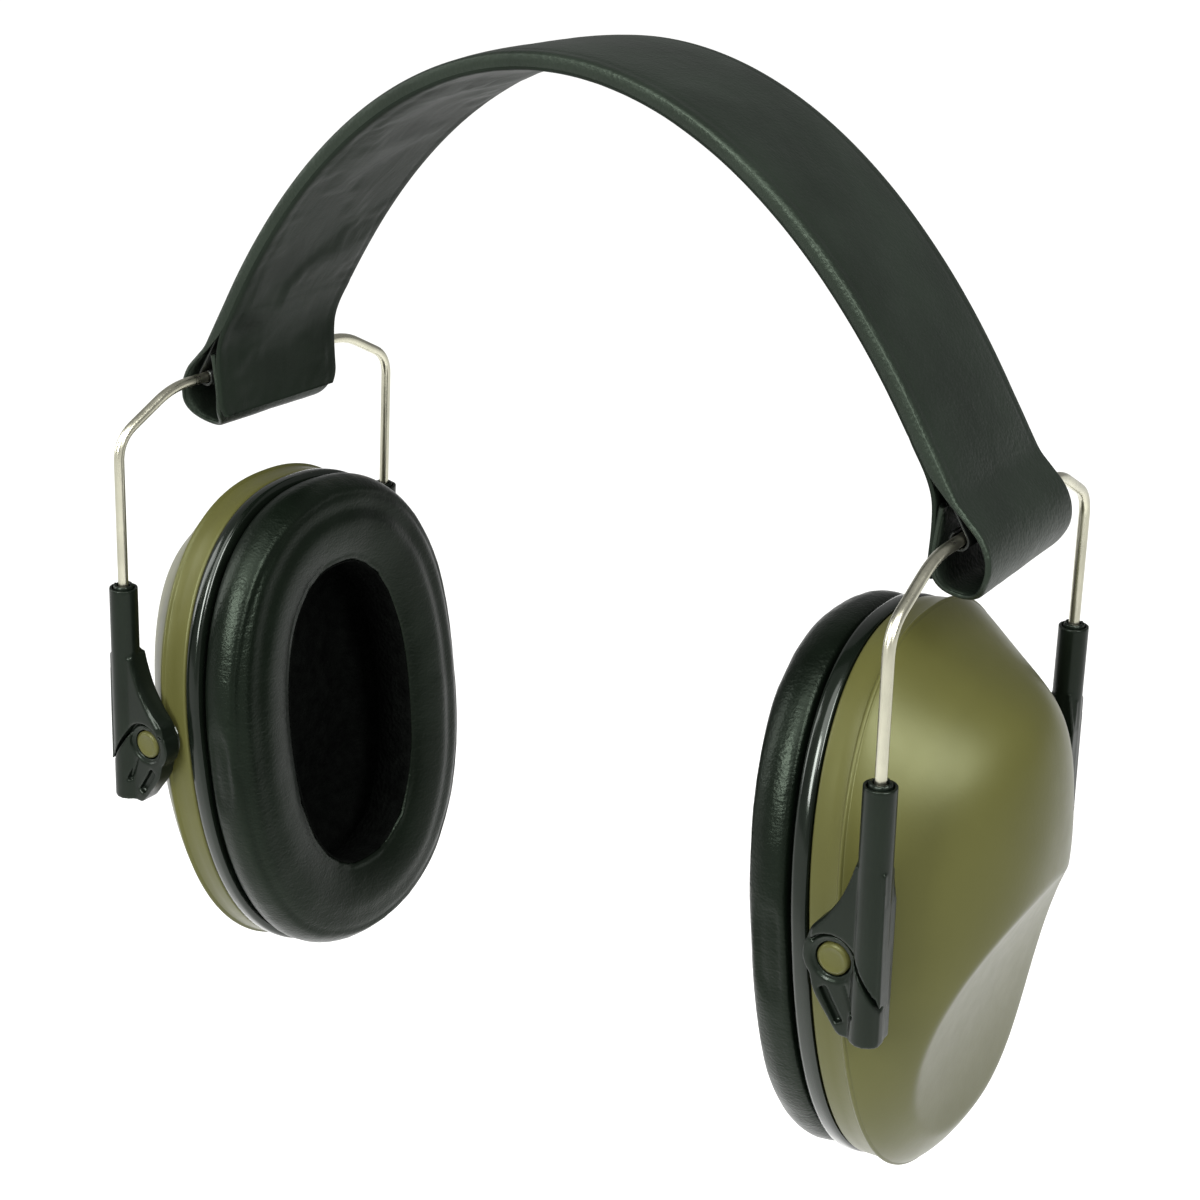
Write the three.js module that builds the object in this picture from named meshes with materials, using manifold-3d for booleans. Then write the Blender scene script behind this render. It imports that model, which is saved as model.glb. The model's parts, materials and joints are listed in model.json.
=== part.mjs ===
// Folding hearing protection earmuffs: a padded spring headband, two steel wire yokes that fold in
// at the band's ends, plastic arms that slide on the wires, and an oval ear cup on each pair of arms.
// Millimetres, +Z up. X runs from ear to ear and Y from front (-Y) to rear. The origin is the middle
// of the band's underside at the crown, where the band rests on the head.
import * as THREE from 'three';
import { mergeVertices } from 'three/addons/utils/BufferGeometryUtils.js';
import Module from 'manifold-3d';

const wasm = await Module();
wasm.setup();

// Headband: layers on an elliptical centre line, from the outside in
const BAND_WIDTH = 35;
const BAND_THICKNESS = 3.5;
const BAND_RADIUS_X = 106.6;
const BAND_RADIUS_Z = 195.5;
const COVER_THICKNESS = 0.7;
const STRIP_THICKNESS = 0.5;
const STRIP_WIDTH = 33;
const FOAM_THICKNESS = 0.7;
const FOAM_WIDTH = 31;
const LINING_THICKNESS = 0.7;
const BAND_END_ANGLE = 42.5;
const BAND_STEPS = 16;

// Hem at each band end: the cover rolls round the yoke wire
const HEM_RADIUS = 4.1;
const HEM_OUT = 0.9;
const HEM_BELOW = 4.5;
const HEM_LEG = 10.5;

// Yoke wire: a cross bar through the hem, a sloping shoulder and a straight leg on each side
const FOLD_AXIS_X = 80.2;
const FOLD_AXIS_Z = -64.8;
const WIRE_RADIUS = 1;
const BAR_HALF_LENGTH = 25.6;
const LEG_Y = 40;
const SHOULDER_DROP = 7.3;
const LEG_END_BELOW_AXIS = 68;
const BEND_LENGTH = 3.2;

// Arm: a column on the wire with an eye for the cup's pivot pin
const ARM_TOP_ABOVE_PIN = 32.2;
const ARM_BOTTOM_BELOW_PIN = 13.4;
const ARM_COLUMN_RADIUS = 2.8;
const ARM_PLATE_INNER_Y = 37.3;
const ARM_PLATE_OUTER_Y = 41.5;
const ARM_WEB_TOP_ABOVE_PIN = 19;
const ARM_FOOT_INNER_X = -4.6;
const EYE_RADIUS = 5.4;
const PIN_OFFSET = 6.1;
const PIN_RADIUS = 2.5;
const PIN_SHANK_RADIUS = 1.6;
const PIN_END_Y = 41.2;
const PIN_TIP_Y = 34.2;
const BUSH_RADIUS = 1.9;
const BUSH_HEIGHT = 3.4;
const BUSH_PROUD = 0.6;

// Ear cup: ovals about a centre a little below the pins, x measured outward from the pins
const OVAL_POWER = 2.3;
const CUP_CENTRE_Z = -5;
const RIM_HALF_WIDTH = 36.4;
const RIM_HALF_HEIGHT = 50.8;
const SHELL_MOUTH_X = -6.7;
const RIDGE_X = -0.5;
const RIDGE_HALF_WIDTH = 36.8;
const RIDGE_HALF_HEIGHT = 51;
const DOME_DEPTH = 22.3;
const DOME_RISE = 19.7;
const DOME_DEPTH_POWER = 1.78;
const DOME_SIZE_POWER = 0.98;
const DOME_RISE_POWER = 2.22;
const WALL = 2.4;
const SCOOP_RADIUS = 73;
const SCOOP_X = 78.3;
const SCOOP_Z = -45.5;
const BOSS_RADIUS = 4.4;
const BOSS_END_Y = 37;
const OPENING_INSET = 17.4;
const HEIGHT_INSET_RATIO = 1;
const CUSHION_SKIN = 0.8;
const CUSHION_BACK_X = -10.9;
const CUSHION_FRONT_X = -21.8;

// How the two sides stand: the swing of the yoke, the height of the arms and the tilt of the cup
const POSES = {
  left: { swing: -2.8, armTop: 37.4, tilt: 8 },
  right: { swing: -0.9, armTop: 32.7, tilt: -4.9 },
};

const GAP = 0.3;
const CUP_SEGMENTS = 28;
const BORE_SIDES = 12;

const OLIVE = new THREE.MeshStandardMaterial({ color: 0x66613c, roughness: 0.38, metalness: 0 });
const VINYL = new THREE.MeshStandardMaterial({ color: 0x2c322d, roughness: 0.5, metalness: 0 });
const LINING = new THREE.MeshStandardMaterial({ color: 0x343a35, roughness: 0.55, metalness: 0 });
const BLACK_PLASTIC = new THREE.MeshStandardMaterial({ color: 0x23282a, roughness: 0.35, metalness: 0 });
const CUSHION_VINYL = new THREE.MeshStandardMaterial({ color: 0x272d29, roughness: 0.42, metalness: 0 });
const FOAM = new THREE.MeshStandardMaterial({ color: 0x111312, roughness: 0.95, metalness: 0 });
const STEEL = new THREE.MeshStandardMaterial({ color: 0xb9b8a6, roughness: 0.25, metalness: 1 });

const radians = THREE.MathUtils.degToRad;

// --- shared shape tools ---

function bare(geometry) {
  geometry.deleteAttribute('normal');
  geometry.deleteAttribute('uv');
  return mergeVertices(geometry, 1e-4);
}

function solid(geometry) {
  const closed = bare(geometry);
  const mesh = new wasm.Mesh({
    numProp: 3,
    vertProperties: new Float32Array(closed.attributes.position.array),
    triVerts: new Uint32Array(closed.index.array),
  });
  mesh.merge();
  return new wasm.Manifold(mesh);
}

function fromSolid(body) {
  const mesh = body.getMesh();
  const geometry = new THREE.BufferGeometry();
  geometry.setAttribute('position', new THREE.BufferAttribute(mesh.vertProperties, 3));
  geometry.setIndex(new THREE.BufferAttribute(mesh.triVerts, 1));
  return geometry;
}

function part(name, geometry, material) {
  const mesh = new THREE.Mesh(bare(geometry), material);
  mesh.name = name;
  return mesh;
}

// A cylinder along Y between two distances from the middle, on the front (-1) or rear (+1) side
function crossCylinder(radius, innerY, outerY, side, sides = BORE_SIDES) {
  const geometry = new THREE.CylinderGeometry(radius, radius, outerY - innerY, sides);
  return geometry.translate(0, side * (innerY + outerY) / 2, 0);
}

// An upright cylinder between two heights
function column(radius, bottom, top, sides = BORE_SIDES) {
  const geometry = new THREE.CylinderGeometry(radius, radius, top - bottom, sides);
  return geometry.rotateX(Math.PI / 2).translate(0, 0, (bottom + top) / 2);
}

// The closed outline of a sheet of one thickness that follows a path of 2-D points
function sheetOutline(path, thickness) {
  const outer = [];
  const inner = [];
  path.forEach((point, i) => {
    const before = path[Math.max(i - 1, 0)];
    const after = path[Math.min(i + 1, path.length - 1)];
    const along = after.clone().sub(before).normalize();
    const across = new THREE.Vector2(-along.y, along.x).multiplyScalar(thickness / 2);
    outer.push(point.clone().add(across));
    inner.push(point.clone().sub(across));
  });
  return [...outer, ...inner.reverse()];
}

// An outline in X and Z, extruded along Y between two places
function extrudeAlongY(outline, fromY, toY) {
  const shape = new THREE.Shape(outline);
  const geometry = new THREE.ExtrudeGeometry(shape, { depth: toY - fromY, bevelEnabled: false });
  return geometry.rotateX(Math.PI / 2).translate(0, toY, 0);
}

// --- headband ---

// A point on the band's ellipse, offset outward from the centre line
function bandPoint(degrees, offset) {
  const t = radians(degrees);
  const normal = new THREE.Vector2(BAND_RADIUS_Z * Math.sin(t), BAND_RADIUS_X * Math.cos(t)).normalize();
  const x = BAND_RADIUS_X * Math.sin(t);
  const z = BAND_RADIUS_Z * (Math.cos(t) - 1) + BAND_THICKNESS / 2;
  return new THREE.Vector2(x, z).addScaledVector(normal, offset);
}

// Half of a band layer, from the crown to the right end
function halfArc(endDegrees, offset) {
  const points = [];
  for (let i = 0; i <= BAND_STEPS; i++) {
    points.push(bandPoint((endDegrees * i) / BAND_STEPS, offset));
  }
  return points;
}

// The whole path from the left end to the right end, mirrored from its right half
function mirrored(half) {
  const left = half.slice(1).reverse().map((point) => new THREE.Vector2(-point.x, point.y));
  return [...left, ...half];
}

// A roll round a centre: straight from a point to the circle's outer side, then round underneath it
function roll(from, centre, radius, endAngle, steps) {
  const reach = from.clone().sub(centre);
  const startAngle = reach.angle() - Math.acos(radius / reach.length());
  const points = [];
  for (let i = 0; i <= steps; i++) {
    const angle = startAngle + ((endAngle - startAngle) * i) / steps;
    const spoke = new THREE.Vector2(Math.cos(angle), Math.sin(angle));
    points.push(centre.clone().addScaledVector(spoke, radius));
  }
  return points;
}

const COVER_OFFSET = (BAND_THICKNESS - COVER_THICKNESS) / 2;
const STRIP_OFFSET = COVER_OFFSET - COVER_THICKNESS / 2 - GAP - STRIP_THICKNESS / 2;
const FOAM_OFFSET = STRIP_OFFSET - STRIP_THICKNESS / 2 - GAP - FOAM_THICKNESS / 2;
const LINING_OFFSET = -(BAND_THICKNESS - LINING_THICKNESS) / 2;
const HEM_CENTRE = new THREE.Vector2(FOLD_AXIS_X + HEM_OUT, FOLD_AXIS_Z - HEM_BELOW);
const WIRE_CENTRE = new THREE.Vector2(FOLD_AXIS_X, FOLD_AXIS_Z);

function coverPath() {
  const half = halfArc(BAND_END_ANGLE, COVER_OFFSET);
  const end = half[half.length - 1];
  half.push(...roll(end, HEM_CENTRE, HEM_RADIUS, -Math.PI, 10));
  half.push(new THREE.Vector2(HEM_CENTRE.x - HEM_RADIUS, HEM_CENTRE.y + HEM_LEG));
  return mirrored(half);
}

function liningPath() {
  const half = halfArc(BAND_END_ANGLE, LINING_OFFSET);
  const x = HEM_CENTRE.x - HEM_RADIUS - (COVER_THICKNESS + LINING_THICKNESS) / 2 - GAP;
  half.push(new THREE.Vector2(x, HEM_CENTRE.y + HEM_LEG));
  half.push(new THREE.Vector2(x, HEM_CENTRE.y - HEM_RADIUS / 2));
  return mirrored(half);
}

function stripPath() {
  const half = halfArc(BAND_END_ANGLE, STRIP_OFFSET);
  const curl = WIRE_RADIUS + GAP + STRIP_THICKNESS / 2;
  half.push(...roll(half[half.length - 1], WIRE_CENTRE, curl, -1.35 * Math.PI, 9));
  return mirrored(half);
}

function headband() {
  const foamPath = mirrored(halfArc(BAND_END_ANGLE - 2, FOAM_OFFSET));
  const layer = (name, path, thickness, width, material) => {
    const outline = sheetOutline(path, thickness);
    return part(name, extrudeAlongY(outline, -width / 2, width / 2), material);
  };
  const group = new THREE.Group();
  group.add(
    layer('headband_outer_cover', coverPath(), COVER_THICKNESS, BAND_WIDTH, VINYL),
    layer('headband_spring_strip', stripPath(), STRIP_THICKNESS, STRIP_WIDTH, STEEL),
    layer('headband_foam_pad', foamPath, FOAM_THICKNESS, FOAM_WIDTH, FOAM),
    layer('headband_inner_lining', liningPath(), LINING_THICKNESS, BAND_WIDTH, LINING),
  );
  return group;
}

// --- yoke wire, in a frame with its origin on the fold axis ---

function wirePath() {
  const corners = [
    new THREE.Vector3(0, -LEG_Y, -LEG_END_BELOW_AXIS),
    new THREE.Vector3(0, -LEG_Y, -SHOULDER_DROP),
    new THREE.Vector3(0, -BAR_HALF_LENGTH, 0),
    new THREE.Vector3(0, BAR_HALF_LENGTH, 0),
    new THREE.Vector3(0, LEG_Y, -SHOULDER_DROP),
    new THREE.Vector3(0, LEG_Y, -LEG_END_BELOW_AXIS),
  ];
  const path = new THREE.CurvePath();
  let start = corners[0];
  for (let i = 1; i < corners.length - 1; i++) {
    const corner = corners[i];
    const entry = corner.clone().add(corners[i - 1].clone().sub(corner).setLength(BEND_LENGTH));
    const exit = corner.clone().add(corners[i + 1].clone().sub(corner).setLength(BEND_LENGTH));
    path.add(new THREE.LineCurve3(start, entry));
    path.add(new THREE.QuadraticBezierCurve3(entry, corner, exit));
    start = exit;
  }
  path.add(new THREE.LineCurve3(start, corners[corners.length - 1]));
  return path;
}

function yokeWire() {
  const section = new THREE.Shape();
  section.absarc(0, 0, WIRE_RADIUS, 0, 2 * Math.PI);
  const options = { steps: 60, curveSegments: 4, extrudePath: wirePath() };
  return new THREE.ExtrudeGeometry(section, options);
}

// --- arms, in a frame with its origin on the wire's line at the height of the pins ---

function armOutline() {
  const shape = new THREE.Shape();
  shape.moveTo(0, -ARM_BOTTOM_BELOW_PIN);
  shape.lineTo(0, ARM_WEB_TOP_ABOVE_PIN);
  shape.quadraticCurveTo(-PIN_OFFSET, ARM_WEB_TOP_ABOVE_PIN / 2, -PIN_OFFSET - EYE_RADIUS, EYE_RADIUS / 3);
  shape.lineTo(-PIN_OFFSET - EYE_RADIUS, -EYE_RADIUS / 2);
  shape.lineTo(ARM_FOOT_INNER_X, -ARM_BOTTOM_BELOW_PIN);
  return shape.getPoints(8);
}

function arm(side) {
  const innerY = side < 0 ? -ARM_PLATE_OUTER_Y : ARM_PLATE_INNER_Y;
  const outerY = side < 0 ? -ARM_PLATE_INNER_Y : ARM_PLATE_OUTER_Y;
  const onWire = (geometry) => solid(geometry.translate(0, side * LEG_Y, 0));
  const plate = solid(extrudeAlongY(armOutline(), innerY, outerY));
  const post = onWire(column(ARM_COLUMN_RADIUS, -ARM_BOTTOM_BELOW_PIN, ARM_TOP_ABOVE_PIN, 16));
  const wireBore = onWire(column(WIRE_RADIUS + GAP, -ARM_BOTTOM_BELOW_PIN + 2, ARM_TOP_ABOVE_PIN + 1));
  const bushDepth = BUSH_HEIGHT - BUSH_PROUD + GAP;
  const bushSeat = onWire(column(BUSH_RADIUS + GAP, ARM_TOP_ABOVE_PIN - bushDepth, ARM_TOP_ABOVE_PIN + 1));
  const eye = crossCylinder(PIN_RADIUS + GAP, ARM_PLATE_INNER_Y - 1, ARM_PLATE_OUTER_Y + 2, side);
  const pinBore = solid(eye.translate(-PIN_OFFSET, 0, 0));
  return fromSolid(plate.add(post).subtract(wireBore).subtract(bushSeat).subtract(pinBore));
}

function wireBush(side) {
  const bottom = ARM_TOP_ABOVE_PIN + BUSH_PROUD - BUSH_HEIGHT;
  const top = ARM_TOP_ABOVE_PIN + BUSH_PROUD;
  const sleeve = solid(column(BUSH_RADIUS, bottom, top));
  const bore = solid(column(WIRE_RADIUS + GAP, bottom - 1, top + 1));
  return fromSolid(sleeve.subtract(bore)).translate(0, side * LEG_Y, 0);
}

// --- ear cup, in a frame with its origin on the pins' axis ---

// A lathe turned into an oval: each station of the profile has its own half sizes and centre height
function ovalLathe(stations) {
  const profile = stations.map((station) => new THREE.Vector2(station.width, station.x));
  const geometry = new THREE.LatheGeometry(profile, CUP_SEGMENTS);
  const position = geometry.attributes.position;
  for (let i = 0; i < position.count; i++) {
    const station = stations[i % stations.length];
    const turn = (2 * Math.PI * Math.floor(i / stations.length)) / CUP_SEGMENTS;
    const c = Math.cos(turn);
    const s = Math.sin(turn);
    const stretch = (Math.abs(c) ** OVAL_POWER + Math.abs(s) ** OVAL_POWER) ** (-1 / OVAL_POWER);
    position.setXYZ(i, station.x, station.width * c * stretch, station.centre + station.height * s * stretch);
  }
  return geometry;
}

// A station a given distance inside the rim oval
function rimStation(inset, x) {
  return {
    x,
    width: RIM_HALF_WIDTH - inset,
    height: RIM_HALF_HEIGHT - inset * HEIGHT_INSET_RATIO,
    centre: CUP_CENTRE_Z,
  };
}

// A closed ring whose section is a loop of [inset, x] pairs
function rimRing(section) {
  const loop = [...section, section[0]];
  return ovalLathe(loop.map(([inset, x]) => rimStation(inset, x)));
}

// Stations of the dome, from the ridge to its top, shrunk by a distance all round
function domeStations(shrink, steps) {
  const stations = [];
  for (let i = 0; i <= steps; i++) {
    const angle = (i / steps) * (Math.PI / 2);
    const rise = Math.sin(angle) ** DOME_DEPTH_POWER;
    const size = i === steps ? 0 : Math.cos(angle) ** DOME_SIZE_POWER;
    stations.push({
      x: RIDGE_X + (DOME_DEPTH - shrink) * rise,
      width: (RIDGE_HALF_WIDTH - shrink) * size,
      height: (RIDGE_HALF_HEIGHT - shrink) * size,
      centre: CUP_CENTRE_Z + DOME_RISE * rise ** DOME_RISE_POWER,
    });
  }
  return stations;
}

// A closed dome with a flat mouth, whose sides run in from the ridge to the mouth
function domeSolid(shrink, mouthX, steps) {
  const mouth = rimStation(shrink, mouthX);
  const centre = { ...mouth, width: 0, height: 0 };
  return solid(ovalLathe([centre, mouth, ...domeStations(shrink, steps)]));
}

function scoop(extraRadius) {
  const cutter = new THREE.CylinderGeometry(SCOOP_RADIUS + extraRadius, SCOOP_RADIUS + extraRadius, 120, 90);
  return solid(cutter.translate(SCOOP_X, 0, SCOOP_Z));
}

function cupShell() {
  const outside = domeSolid(0, SHELL_MOUTH_X, 10).subtract(scoop(0));
  const inside = domeSolid(WALL, SHELL_MOUTH_X - 1, 7).subtract(scoop(WALL));
  let shell = outside.subtract(inside);
  for (const side of [-1, 1]) {
    shell = shell.add(solid(crossCylinder(BOSS_RADIUS, RIM_HALF_WIDTH - WALL, BOSS_END_Y, side)));
    shell = shell.subtract(solid(crossCylinder(PIN_SHANK_RADIUS + GAP, 30, BOSS_END_Y + 1, side)));
  }
  return fromSolid(shell);
}

function pivotPin(side) {
  const head = solid(crossCylinder(PIN_RADIUS, BOSS_END_Y + GAP, PIN_END_Y, side));
  const shank = solid(crossCylinder(PIN_SHANK_RADIUS, PIN_TIP_Y, BOSS_END_Y + 1, side));
  return fromSolid(head.add(shank));
}

// The foam lining follows the inside of the shell and is hollowed towards the ear
function foamLiner() {
  const shrink = WALL + 0.6;
  const frontX = -1.5;
  const block = domeSolid(shrink, frontX, 6).subtract(scoop(shrink));
  const hollow = new THREE.SphereGeometry(1, 20, 10).scale(9, 24, 38).translate(frontX, 0, CUP_CENTRE_Z);
  return fromSolid(block.subtract(solid(hollow)));
}

// The base plate closes the shell's mouth; its spigot enters the shell and its flange holds the cushion
function backplate() {
  const plateX = SHELL_MOUTH_X - GAP;
  const spigotX = SHELL_MOUTH_X + 3.8;
  const spigotInset = WALL + 0.4;
  const frontX = plateX - 3.3;
  const stepX = plateX - 2.4;
  return rimRing([
    [-0.2, plateX],
    [spigotInset, plateX],
    [spigotInset, spigotX],
    [spigotInset + 1.6, spigotX],
    [spigotInset + 2, plateX],
    [14, plateX],
    [14, stepX],
    [5.4, stepX],
    [5, frontX],
    [0.2, frontX],
    [-0.2, frontX + 0.5],
  ]);
}

// The cushion's carrier ring: a flange under the foam and a spigot that snaps to the base plate
function cushionRing() {
  const backX = CUSHION_BACK_X - 1.2;
  const frontX = backX - 1;
  const spigotX = backX + 2.2;
  return rimRing([
    [2, backX],
    [6, backX],
    [6, spigotX],
    [9.4, spigotX],
    [9.4, backX],
    [15, backX],
    [15, frontX],
    [2, frontX],
  ]);
}

// The cushion's skin: a roll outside, a flat face towards the head and a roll into the ear opening
function cushionCover() {
  const backX = CUSHION_BACK_X - CUSHION_SKIN / 2;
  const flatX = CUSHION_FRONT_X + CUSHION_SKIN / 2;
  const wallInset = OPENING_INSET - CUSHION_SKIN / 2;
  const path = [
    [5, backX],
    [1.4, backX],
    [0.4, backX - 1.9],
    [0.6, -16.2],
    [2.4, -19.4],
    [5.2, -20.9],
    [7.5, flatX],
    [8.7, flatX],
    [10.6, flatX],
    [11.8, flatX],
    [15.2, -20.2],
    [wallInset, -18],
    [wallInset, backX - 1.9],
    [15.4, backX],
    [12.4, backX],
  ];
  const outline = sheetOutline(path.map(([inset, x]) => new THREE.Vector2(inset, x)), CUSHION_SKIN);
  return rimRing(outline.map((point) => [point.x, point.y]));
}

function cushionFoam() {
  return rimRing([
    [1.6, -13.5],
    [15.7, -13.5],
    [15.7, -17.8],
    [14.4, -19.3],
    [11.5, -20.5],
    [7.5, -20.5],
    [4.2, -19.4],
    [1.8, -16.6],
  ]);
}

// Places a child group's frame
function frame(x, z, degrees) {
  const group = new THREE.Group();
  group.position.set(x, 0, z);
  group.rotation.y = radians(degrees);
  return group;
}

// One side of the earmuffs, built with x outward; the left side is turned about Z
function sideAssembly(sideName) {
  const pose = POSES[sideName];
  const flip = sideName === 'left' ? -1 : 1;
  const ends = [
    ['front', -flip],
    ['rear', flip],
  ];
  const side = new THREE.Group();
  side.rotation.z = flip < 0 ? Math.PI : 0;
  const yoke = frame(FOLD_AXIS_X, FOLD_AXIS_Z, pose.swing);
  const arms = frame(0, -(pose.armTop + ARM_TOP_ABOVE_PIN), 0);
  const cup = frame(-PIN_OFFSET, 0, pose.tilt);
  side.add(yoke);
  yoke.add(arms, part(`yoke_wire_${sideName}`, yokeWire(), STEEL));
  arms.add(cup);
  for (const [end, y] of ends) {
    arms.add(part(`arm_${end}_${sideName}`, arm(y), BLACK_PLASTIC));
    arms.add(part(`wire_bush_${end}_${sideName}`, wireBush(y), BLACK_PLASTIC));
    cup.add(part(`pivot_pin_${end}_${sideName}`, pivotPin(y), OLIVE));
  }
  cup.add(
    part(`cup_shell_${sideName}`, cupShell(), OLIVE),
    part(`cup_foam_liner_${sideName}`, foamLiner(), FOAM),
    part(`cup_backplate_${sideName}`, backplate(), BLACK_PLASTIC),
    part(`cushion_ring_${sideName}`, cushionRing(), BLACK_PLASTIC),
    part(`cushion_foam_${sideName}`, cushionFoam(), FOAM),
    part(`cushion_cover_${sideName}`, cushionCover(), CUSHION_VINYL),
  );
  return side;
}

const earmuffs = new THREE.Group();
earmuffs.add(headband(), sideAssembly('left'), sideAssembly('right'));
export default earmuffs;
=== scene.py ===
"""Looks of the folding earmuffs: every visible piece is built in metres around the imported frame."""
import json
import math

import bpy
import numpy as np
from mathutils import Matrix, Vector, noise


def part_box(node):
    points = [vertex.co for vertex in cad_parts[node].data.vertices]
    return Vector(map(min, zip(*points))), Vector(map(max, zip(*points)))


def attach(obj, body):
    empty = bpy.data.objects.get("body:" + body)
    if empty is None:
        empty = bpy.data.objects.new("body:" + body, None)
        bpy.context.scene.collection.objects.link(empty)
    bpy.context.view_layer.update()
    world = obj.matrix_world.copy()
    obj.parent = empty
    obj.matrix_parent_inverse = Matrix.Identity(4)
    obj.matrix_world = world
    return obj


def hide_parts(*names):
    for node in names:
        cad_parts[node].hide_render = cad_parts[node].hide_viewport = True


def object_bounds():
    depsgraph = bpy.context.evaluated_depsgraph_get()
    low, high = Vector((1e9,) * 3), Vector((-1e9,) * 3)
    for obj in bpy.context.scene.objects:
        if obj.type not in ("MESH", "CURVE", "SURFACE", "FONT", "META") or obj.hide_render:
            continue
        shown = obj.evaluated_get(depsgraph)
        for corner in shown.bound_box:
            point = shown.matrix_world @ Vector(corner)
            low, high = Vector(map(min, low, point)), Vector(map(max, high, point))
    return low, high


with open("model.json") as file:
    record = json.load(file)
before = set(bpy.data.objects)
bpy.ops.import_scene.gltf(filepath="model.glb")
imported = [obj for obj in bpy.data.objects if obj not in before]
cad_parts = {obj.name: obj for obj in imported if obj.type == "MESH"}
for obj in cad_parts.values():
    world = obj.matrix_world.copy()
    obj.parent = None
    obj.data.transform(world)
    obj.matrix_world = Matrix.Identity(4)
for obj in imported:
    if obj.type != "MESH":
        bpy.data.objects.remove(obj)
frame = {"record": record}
cad_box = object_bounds()
record = frame["record"]
joints = {j["name"]: j for j in record["behaviour"]["joints"]}
mounts = {m["name"]: m for m in record["mounts"]}
MM = 0.001
SIDES = {"left": -1, "right": 1}
ENDS = {"front": -1, "rear": 1}


# ---------------------------------------------------------------- frames

def unit(v):
    v = np.asarray(v, float)
    return v / np.linalg.norm(v)


def axes(origin, out, up):
    """A 4x4 frame with x outward, y to the rear and z up; it mirrors on the left side."""
    m = np.eye(4)
    m[:3, 0], m[:3, 1], m[:3, 2], m[:3, 3] = out, (0, 1, 0), up, origin
    return m


def side_frames(side):
    """The yoke, arm and cup frames of one side at rest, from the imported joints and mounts."""
    sign = SIDES[side]
    up = unit(joints[f"height_{side}"]["axis"])
    out = np.array([sign * up[2], 0, -sign * up[0]])
    pin = np.array(joints[f"tilt_{side}"]["pos_m"])
    fold = np.array(joints[f"fold_{side}"]["pos_m"])
    head_side = np.array(mounts[f"ear_seal_{side}"]["axis"])
    cup_out = unit([-head_side[0], 0, -head_side[2]])
    cup_up = np.array([-sign * cup_out[2], 0, sign * cup_out[0]])
    arm_origin = fold + up * ((pin - fold) @ up)
    return {
        "yoke": axes(fold, out, up),
        "arm": axes(arm_origin, out, up),
        "cup": axes(pin, cup_out, cup_up),
    }


FRAMES = {side: side_frames(side) for side in SIDES}
PIN_OFFSET = float(
    (FRAMES["right"]["arm"][:3, 3] - FRAMES["right"]["cup"][:3, 3]) @ FRAMES["right"]["arm"][:3, 0]
)


# ---------------------------------------------------------------- mesh tools

def make_object(name, verts, faces, smooth=True):
    mesh = bpy.data.meshes.new(name)
    mesh.from_pydata([tuple(v) for v in verts], [], [tuple(f) for f in faces])
    mesh.validate()
    mesh.update()
    if smooth:
        mesh.polygons.foreach_set("use_smooth", [True] * len(mesh.polygons))
    obj = bpy.data.objects.new(name, mesh)
    bpy.context.scene.collection.objects.link(obj)
    return obj


def mesh_arrays(obj):
    """The evaluated mesh of an object as vertices and faces."""
    depsgraph = bpy.context.evaluated_depsgraph_get()
    mesh = obj.evaluated_get(depsgraph).to_mesh()
    verts = np.array([v.co for v in mesh.vertices], float)
    faces = [tuple(p.vertices) for p in mesh.polygons]
    return verts, faces


def discard(*objs):
    for obj in objs:
        bpy.data.objects.remove(obj, do_unlink=True)


def grid_faces(rows, cols, close_rows=False, close_cols=False):
    """Quads of a grid of vertices numbered row by row."""
    faces = []
    for r in range(rows if close_rows else rows - 1):
        for c in range(cols if close_cols else cols - 1):
            r2, c2 = (r + 1) % rows, (c + 1) % cols
            faces.append((r * cols + c, r * cols + c2, r2 * cols + c2, r2 * cols + c))
    return faces


def placed(verts, faces, matrix, mirror_y=False):
    """Vertices in a frame, with the faces turned over where the frame mirrors them."""
    v = np.array(verts, float)
    if mirror_y:
        v = v * (1, -1, 1)
    v = v @ matrix[:3, :3].T + matrix[:3, 3]
    mirrors = (np.linalg.det(matrix[:3, :3]) < 0) != mirror_y
    return v, [f[::-1] for f in faces] if mirrors else faces


def add_piece(name, verts, faces, body, material, replaced=()):
    obj = make_object(name, verts, faces)
    obj.data.materials.append(material)
    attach(obj, body)
    if replaced:
        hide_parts(*replaced)
    return obj


def smooth_curve(points, count, closed=False):
    """Points along a Catmull-Rom curve through the given ones, evenly spaced."""
    p = np.asarray(points, float)
    n = len(p)
    spans = n if closed else n - 1
    dense = []
    for i in range(spans):
        take = (lambda k: p[k % n]) if closed else (lambda k: p[min(max(k, 0), n - 1)])
        a, b, c, d = take(i - 1), take(i), take(i + 1), take(i + 2)
        for t in np.linspace(0, 1, 24, endpoint=False):
            dense.append(0.5 * (2 * b + (c - a) * t + (2 * a - 5 * b + 4 * c - d) * t**2
                                + (3 * b - a - 3 * c + d) * t**3))
    dense.append(p[0] if closed else p[-1])
    return resample(np.array(dense), count, closed)


def resample(line, count, closed=False):
    lengths = np.concatenate([[0], np.cumsum(np.linalg.norm(np.diff(line, axis=0), axis=1))])
    at = np.linspace(0, lengths[-1], count, endpoint=not closed)
    return np.stack([np.interp(at, lengths, line[:, k]) for k in range(line.shape[1])], 1)


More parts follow.
